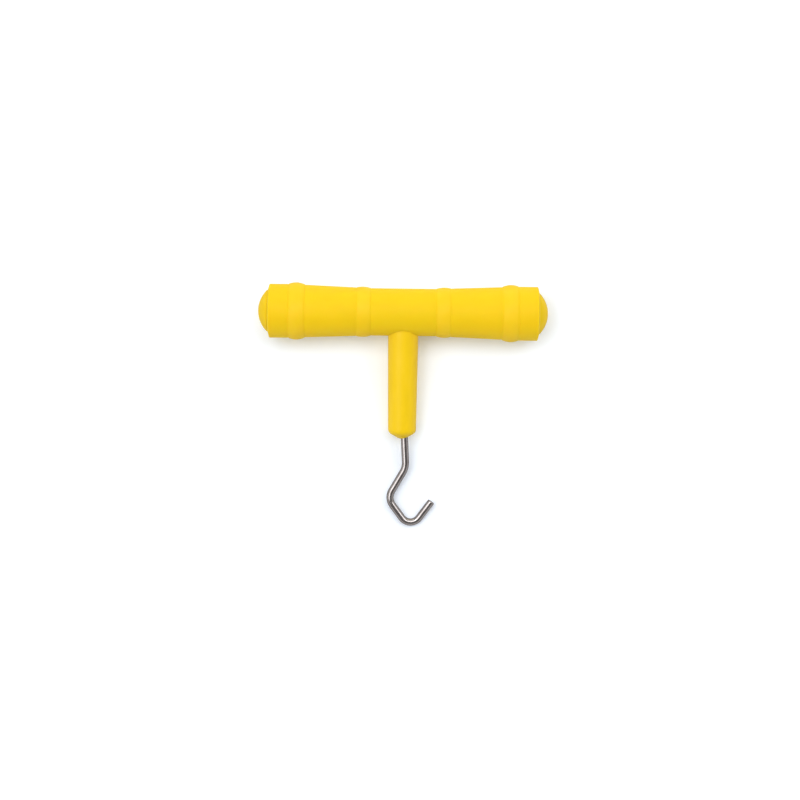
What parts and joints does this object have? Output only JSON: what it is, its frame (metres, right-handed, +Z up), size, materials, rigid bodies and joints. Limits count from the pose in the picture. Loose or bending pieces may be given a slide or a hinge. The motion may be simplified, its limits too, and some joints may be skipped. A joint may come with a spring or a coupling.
{
  "type": "t-handle pull hook",
  "caption": "T-shaped hand tool with a ringed soft grip, domed end caps and a short stem that holds a bent stainless wire hook, for pulling loops and knots tight.",
  "frame": {"origin": "on the floor that the tool lies on, under the centre of the tool's box", "axes": "+X along the handle, +Y from the hook towards the handle, +Z up; the plane of the T leans down to the hook, because the tool rests on its two outer grip rings and the heel of the hook"},
  "size_m": [0.1022, 0.0858, 0.0202],
  "materials": {
    "core_plastic": "satin moulded yellow",
    "grip_rubber": "fine matt moulded yellow",
    "cap_plastic": "satin moulded yellow",
    "hook_steel": "drawn and polished stainless wire"
  },
  "bodies": {
    "root": {"handle_core": "core_plastic", "grip_sleeve": "grip_rubber", "end_cap_left": "cap_plastic", "end_cap_right": "cap_plastic", "hook": "hook_steel"}
  },
  "joints": []
}
